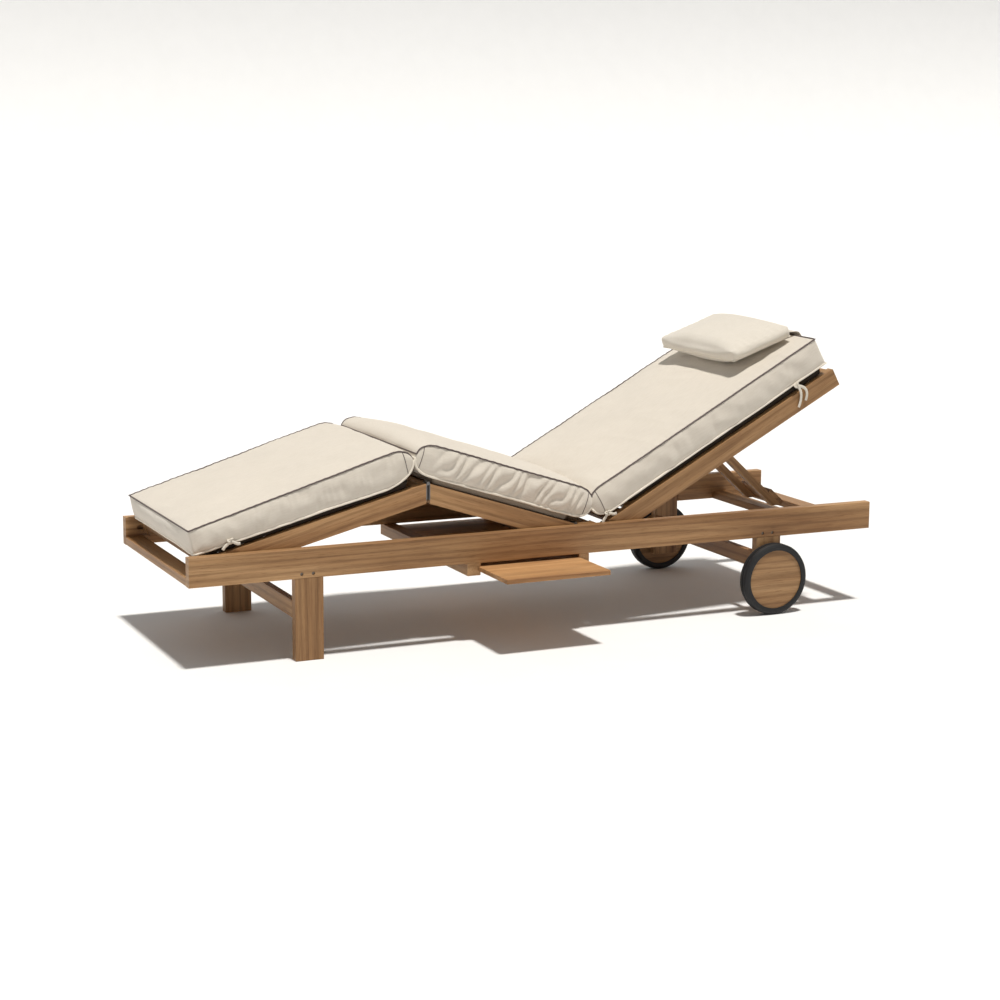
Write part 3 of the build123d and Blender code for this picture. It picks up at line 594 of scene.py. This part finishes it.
foot_pad, foot_seams = boxed_pad(
    "foot_pad", foot, FOOT_TOP, FOOT_BOTTOM, HALF, cloth_foot, n=130, crown=0.013, seed=1,
    pleats=(22, 0.9, 0.0030, 0.22, 0.94), end_bulge=(0.012, 0.002), wrinkle=0.0026)
thigh_pad, thigh_seams = boxed_pad(
    "thigh_pad", thigh, THIGH_TOP, THIGH_BOTTOM, HALF, cloth_thigh, n=130, crown=0.013, seed=2,
    pleats=(14, 1.3, 0.0105, 0.12, 0.95), end_bulge=(0.002, 0.002), wrinkle=0.0024)
back_pad, back_seams = boxed_pad(
    "back_pad", back, BACK_TOP, BACK_BOTTOM, HALF, cloth_back, n=130, crown=0.012, seed=3,
    pleats=(16, 0.8, 0.0014, 0.2, 0.9), end_bulge=(0.002, 0.006), wrinkle=0.0026)

PILLOW_HALF = 0.2
PILLOW_LENGTH = 188
PILLOW_DEPTH = 28
PILLOW_START = 576
PILLOW_LEVELS = (178, 150)    # its underside, higher at the edge away from the flap
PILLOW_BOTTOM = seam_line(PILLOW_START, PILLOW_START + PILLOW_LENGTH, PILLOW_LEVELS)
PILLOW_TOP = [(u + 5, w + PILLOW_DEPTH) for u, w in PILLOW_BOTTOM]
pillow_pad, pillow_seams = boxed_pad(
    "pillow_pad", back, PILLOW_TOP, PILLOW_BOTTOM, PILLOW_HALF, cloth_pillow, n=46, k=6, cols=80,
    crown=0.022, under=0.025, bulge=0.008, end_bulge=(0.010, 0.008), seed=4, wrinkle=0.0020,
    pressure=4.0, cap=0.014)

for obj, nodename in ((foot_pad, "foot_cushion"), (thigh_pad, "thigh_cushion"),
                      (back_pad, "back_cushion"), (pillow_pad, "pillow")):
    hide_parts(nodename)


def settle(obj, key):
    """Gives a soft piece its body; a piece that crosses a joint only has its transform baked into its
    mesh.
    """
    if key == "back":
        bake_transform(obj)
    elif key == "knee":
        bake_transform(obj)
    else:
        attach(obj, key)


settle(foot_pad, "foot")
settle(thigh_pad, "knee")
settle(back_pad, "back")
settle(pillow_pad, "backrest")

for label, seams, key in (("foot", foot_seams, "foot"), ("thigh", thigh_seams, "knee"),
                          ("back", back_seams, "back")):
    # The top welts and the band seams carry painted shade; the bottom welts carry a painted highlight.
    top_welt = tube(label + "_welt_top_painted_shade", loop(seams, "top"), 0.0020, welt_painted_shade)
    low_welt = tube(label + "_welt_bottom_painted_highlight", loop(seams, "bottom"), 0.0032, welt_painted_highlight)
    for piece in (top_welt, low_welt):
        settle(piece, key)
# The pillow's bottom welt carries the same painted highlight.
pillow_welt = tube("pillow_welt", loop(pillow_seams, "bottom"), 0.0018, welt_painted_highlight)
settle(pillow_welt, "backrest")

for label, seams, key, ends in (("foot", foot_seams, "foot", "b"),
                                ("thigh", thigh_seams, "knee", "ab"),
                                ("back", back_seams, "back", "a")):
    for side in ("near", "far"):
        for e in ends:
            seam_name = f"{label}_band_seam_{side}_{e}"
            s = tube(seam_name, seams[f"band_{side}_{e}"], 0.0010, welt_painted_shade, 6)
            settle(s, key)


# ---------- lower middles of the cushions, where they rest on the slats ----------
def belly(name, section, first, last, low, high, half, key, mat):
    """Lower middle of a cushion, which fills the space down to the slats; its cloth is given as
    painted shade.
    """
    line = [(first + (last - first) * t, high) for t in np.linspace(0, 1, 6)]
    base = [(first + 8 + (last - first - 16) * t, low) for t in np.linspace(0, 1, 6)]
    o, _ = boxed_pad(name, section, line, base, half, mat, n=40, k=4, cols=30, crown=0.0, under=0.0,
                     bulge=0.001, end_bulge=(0.001, 0.001), wrinkle=0.0006, seed=9,
                     pressure=0, pucker=0)
    settle(o, key)


# The lower middles carry painted shade: near-black under the foot and back cushions, shaded brown
# under the thigh cushion.
belly("foot_belly", foot, -615, -45, 1.5, 21, 0.258, "foot", underside_painted_deep_shade)
belly("thigh_belly", thigh, -440, -20, 1.5, 21, 0.262, "thigh", underside_painted_shade)
belly("back_belly", back, 90, 785, 26.5, 48, 0.258, "backrest", underside_painted_deep_shade)


# ---------- ties ----------
def join(name, pieces):
    """One mesh from several."""
    bm = bmesh.new()
    for p in pieces:
        bm.from_mesh(p.data)
    mat = pieces[0].data.materials[0]
    for p in pieces:
        bpy.data.objects.remove(p)
    me = bpy.data.meshes.new(name)
    bm.to_mesh(me)
    bm.free()
    me.materials.append(mat)
    me.shade_smooth()
    o = bpy.data.objects.new(name, me)
    scene.collection.objects.link(o)
    return o


TIE_OUT = HALF + 0.0065    # a tie lies just outside its cushion's side


def tie(section, u, w, side, tails):
    """Knot of flat tape against a cushion's side, with its two tails."""
    out = side * TIE_OUT
    knot = []
    for t in np.linspace(0, 2 * math.pi, 60):
        du = 2.6 * (math.sin(t) + 2 * math.sin(2 * t))
        dw = 2.1 * (math.cos(t) - 2 * math.cos(2 * t))
        knot.append(section.at(u + du, w + dw, out + side * (-0.0032 * math.sin(3 * t))))
    parts = [tube("knot", knot, 0.0024, tape, 8)]
    for tail in tails:
        path = resample([(0, 0, 0)] + list(tail), 24)
        line = [section.at(u + a, w + b, out + side * c / 1000) for a, b, c in path]
        parts.append(tube("tail", line, 0.0040, tape, 10, 0.32))
    return parts


# Tails from the knot, in millimetres: along the cushion, up from its seam, out from its side.
short = [[(-8, -6, 1), (-18, -9, 2), (-26, -16, 3)], [(7, -6, 1), (14, -13, 2), (22, -14, 3)]]
hanging = [[(4, -10, 2), (2, -26, 4), (-8, -44, 3), (-22, -58, 2)],
           [(10, -8, 2), (20, -20, 4), (18, -38, 4), (6, -52, 2)]]
foot_ties = join("foot_ties", tie(foot, -545, 26, -1, short) + tie(foot, -545, 26, 1, short))
back_ties = join("back_ties", tie(back, 16, 47, -1, short) + tie(back, 16, 47, 1, short)
                 + tie(back, 682, 47, -1, hanging) + tie(back, 682, 47, 1, hanging))
for obj, node, key in ((foot_ties, "foot_cushion_ties", "foot"),
                       (back_ties, "back_cushion_ties", "back")):
    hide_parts(node)
    settle(obj, key)


# ---------- flap that holds the pillow ----------
FLAP_ROWS = 40


def section_lift(u, w, y, d, lift):
    """Point on the backrest moved square to a line that runs in direction d."""
    return back.at(u - d[1] * lift, w + d[0] * lift, y)


def hung_flap():
    """Double layer of cloth from the pillow's head edge, hung over the end of the back cushion."""
    line = resample([(766, 163), (778, 152), (792, 143), (803, 139),
                     (810, 131), (811, 112), (810, 86), (809, 62)], FLAP_ROWS)
    seam = np.r_[0, np.cumsum(np.linalg.norm(np.diff(line, axis=0), axis=1))]
    verts, faces, cols = [], [], 70
    last = FLAP_ROWS - 1
    for layer in (0, 1):
        for i, (u, w) in enumerate(line):
            d = line[min(i + 1, last)] - line[max(i - 1, 0)]
            d = d / np.linalg.norm(d)
            for c in range(cols + 1):
                y = (c / cols - 0.5) * 0.346
                lift = 1.4 * math.sin(y * 38 + 0.6) * (i / last) ** 1.5 + (0.6 if layer else -0.6)
                verts.append(section_lift(u, w, y, d, lift))
    size = FLAP_ROWS * (cols + 1)
    for layer in (0, 1):
        for i in range(last):
            for c in range(cols):
                a = layer * size + i * (cols + 1) + c
                f = (a, a + 1, a + cols + 2, a + cols + 1)
                faces.append(f if layer else f[::-1])
    edge = list(range(cols + 1)) + [i * (cols + 1) + cols for i in range(1, FLAP_ROWS)]
    edge += [last * (cols + 1) + c for c in range(cols - 1, -1, -1)]
    edge += [i * (cols + 1) for i in range(last - 1, 0, -1)]
    for a, b in zip(edge, edge[1:] + edge[:1]):
        faces.append((a, b, b + size, a + size))
    o = link("pillow_flap_cloth", verts, faces, cloth_pillow)
    bm = bmesh.new()
    bm.from_mesh(o.data)
    bmesh.ops.recalc_face_normals(bm, faces=bm.faces[:])
    bm.to_mesh(o.data)
    bm.free()
    return o, float(seam[-1]) / 1000


flap, flap_length = hung_flap()
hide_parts("pillow_flap")
settle(flap, "backrest")

# ---------- camera, light and floor ----------
cam_data = bpy.data.cameras.new("camera")
cam = bpy.data.objects.new("camera", cam_data)
scene.collection.objects.link(cam)
scene.camera = cam
yaw, pitch, roll = math.radians(24.9), math.radians(-10.4), math.radians(0.4)
fwd = Vector((math.sin(yaw) * math.cos(pitch), math.cos(yaw) * math.cos(pitch), math.sin(pitch)))
right = Vector((math.cos(yaw), -math.sin(yaw), 0))
up = right.cross(fwd)
r2 = right * math.cos(roll) + up * math.sin(roll)
u2 = up * math.cos(roll) - right * math.sin(roll)
place = Vector((-2.4905, -5.3309 + centre_y, 1.3939))
cam.matrix_world = Matrix(((r2.x, u2.x, -fwd.x, place.x), (r2.y, u2.y, -fwd.y, place.y),
                           (r2.z, u2.z, -fwd.z, place.z), (0, 0, 0, 1)))
cam_data.sensor_width = 36
cam_data.lens = 77.7

FLOOR_FRONT, FLOOR_BACK, FLOOR_HALF = -14.0, 9.0, 24
COVE_RADIUS = 3.0
WALL_TOP = 16.0


def cove():
    """Pale floor that curves up into a wall well behind the lounger."""
    line = [(FLOOR_FRONT, 0.0), (FLOOR_BACK, 0.0)]
    line += [(FLOOR_BACK + COVE_RADIUS * math.sin(a), COVE_RADIUS - COVE_RADIUS * math.cos(a))
             for a in np.linspace(0.1, math.pi / 2, 12)]
    line.append((FLOOR_BACK + COVE_RADIUS, WALL_TOP))
    verts = [(x, y, z) for y, z in line for x in (-FLOOR_HALF, FLOOR_HALF)]
    faces = [(2 * i, 2 * i + 1, 2 * i + 3, 2 * i + 2) for i in range(len(line) - 1)]
    paint = plain("floor_paint", (0.87, 0.87, 0.87), 0.9, 0.0, 6.0, 0.0002, 0.01)
    return link("floor", verts, faces, paint)


cove()

world = bpy.data.worlds.new("studio")
scene.world = world
world.use_nodes = True
bg = world.node_tree.nodes["Background"]
bg.inputs[0].default_value = (1.0, 0.995, 0.98, 1)
bg.inputs[1].default_value = 0.24

sun_data = bpy.data.lights.new("sun", "SUN")
sun_data.energy = 3.2
sun_data.color = (1.0, 0.975, 0.93)
sun_data.angle = math.radians(5)
sun = bpy.data.objects.new("sun", sun_data)
scene.collection.objects.link(sun)
SUN_PLACE, SUN_TARGET = Vector((0.1, -0.95, 5.3)), Vector((0, 0, 0.3))
sun.location = SUN_PLACE
sun.rotation_euler = (SUN_TARGET - SUN_PLACE).to_track_quat("-Z", "Y").to_euler()
scene.view_settings.view_transform = "Standard"
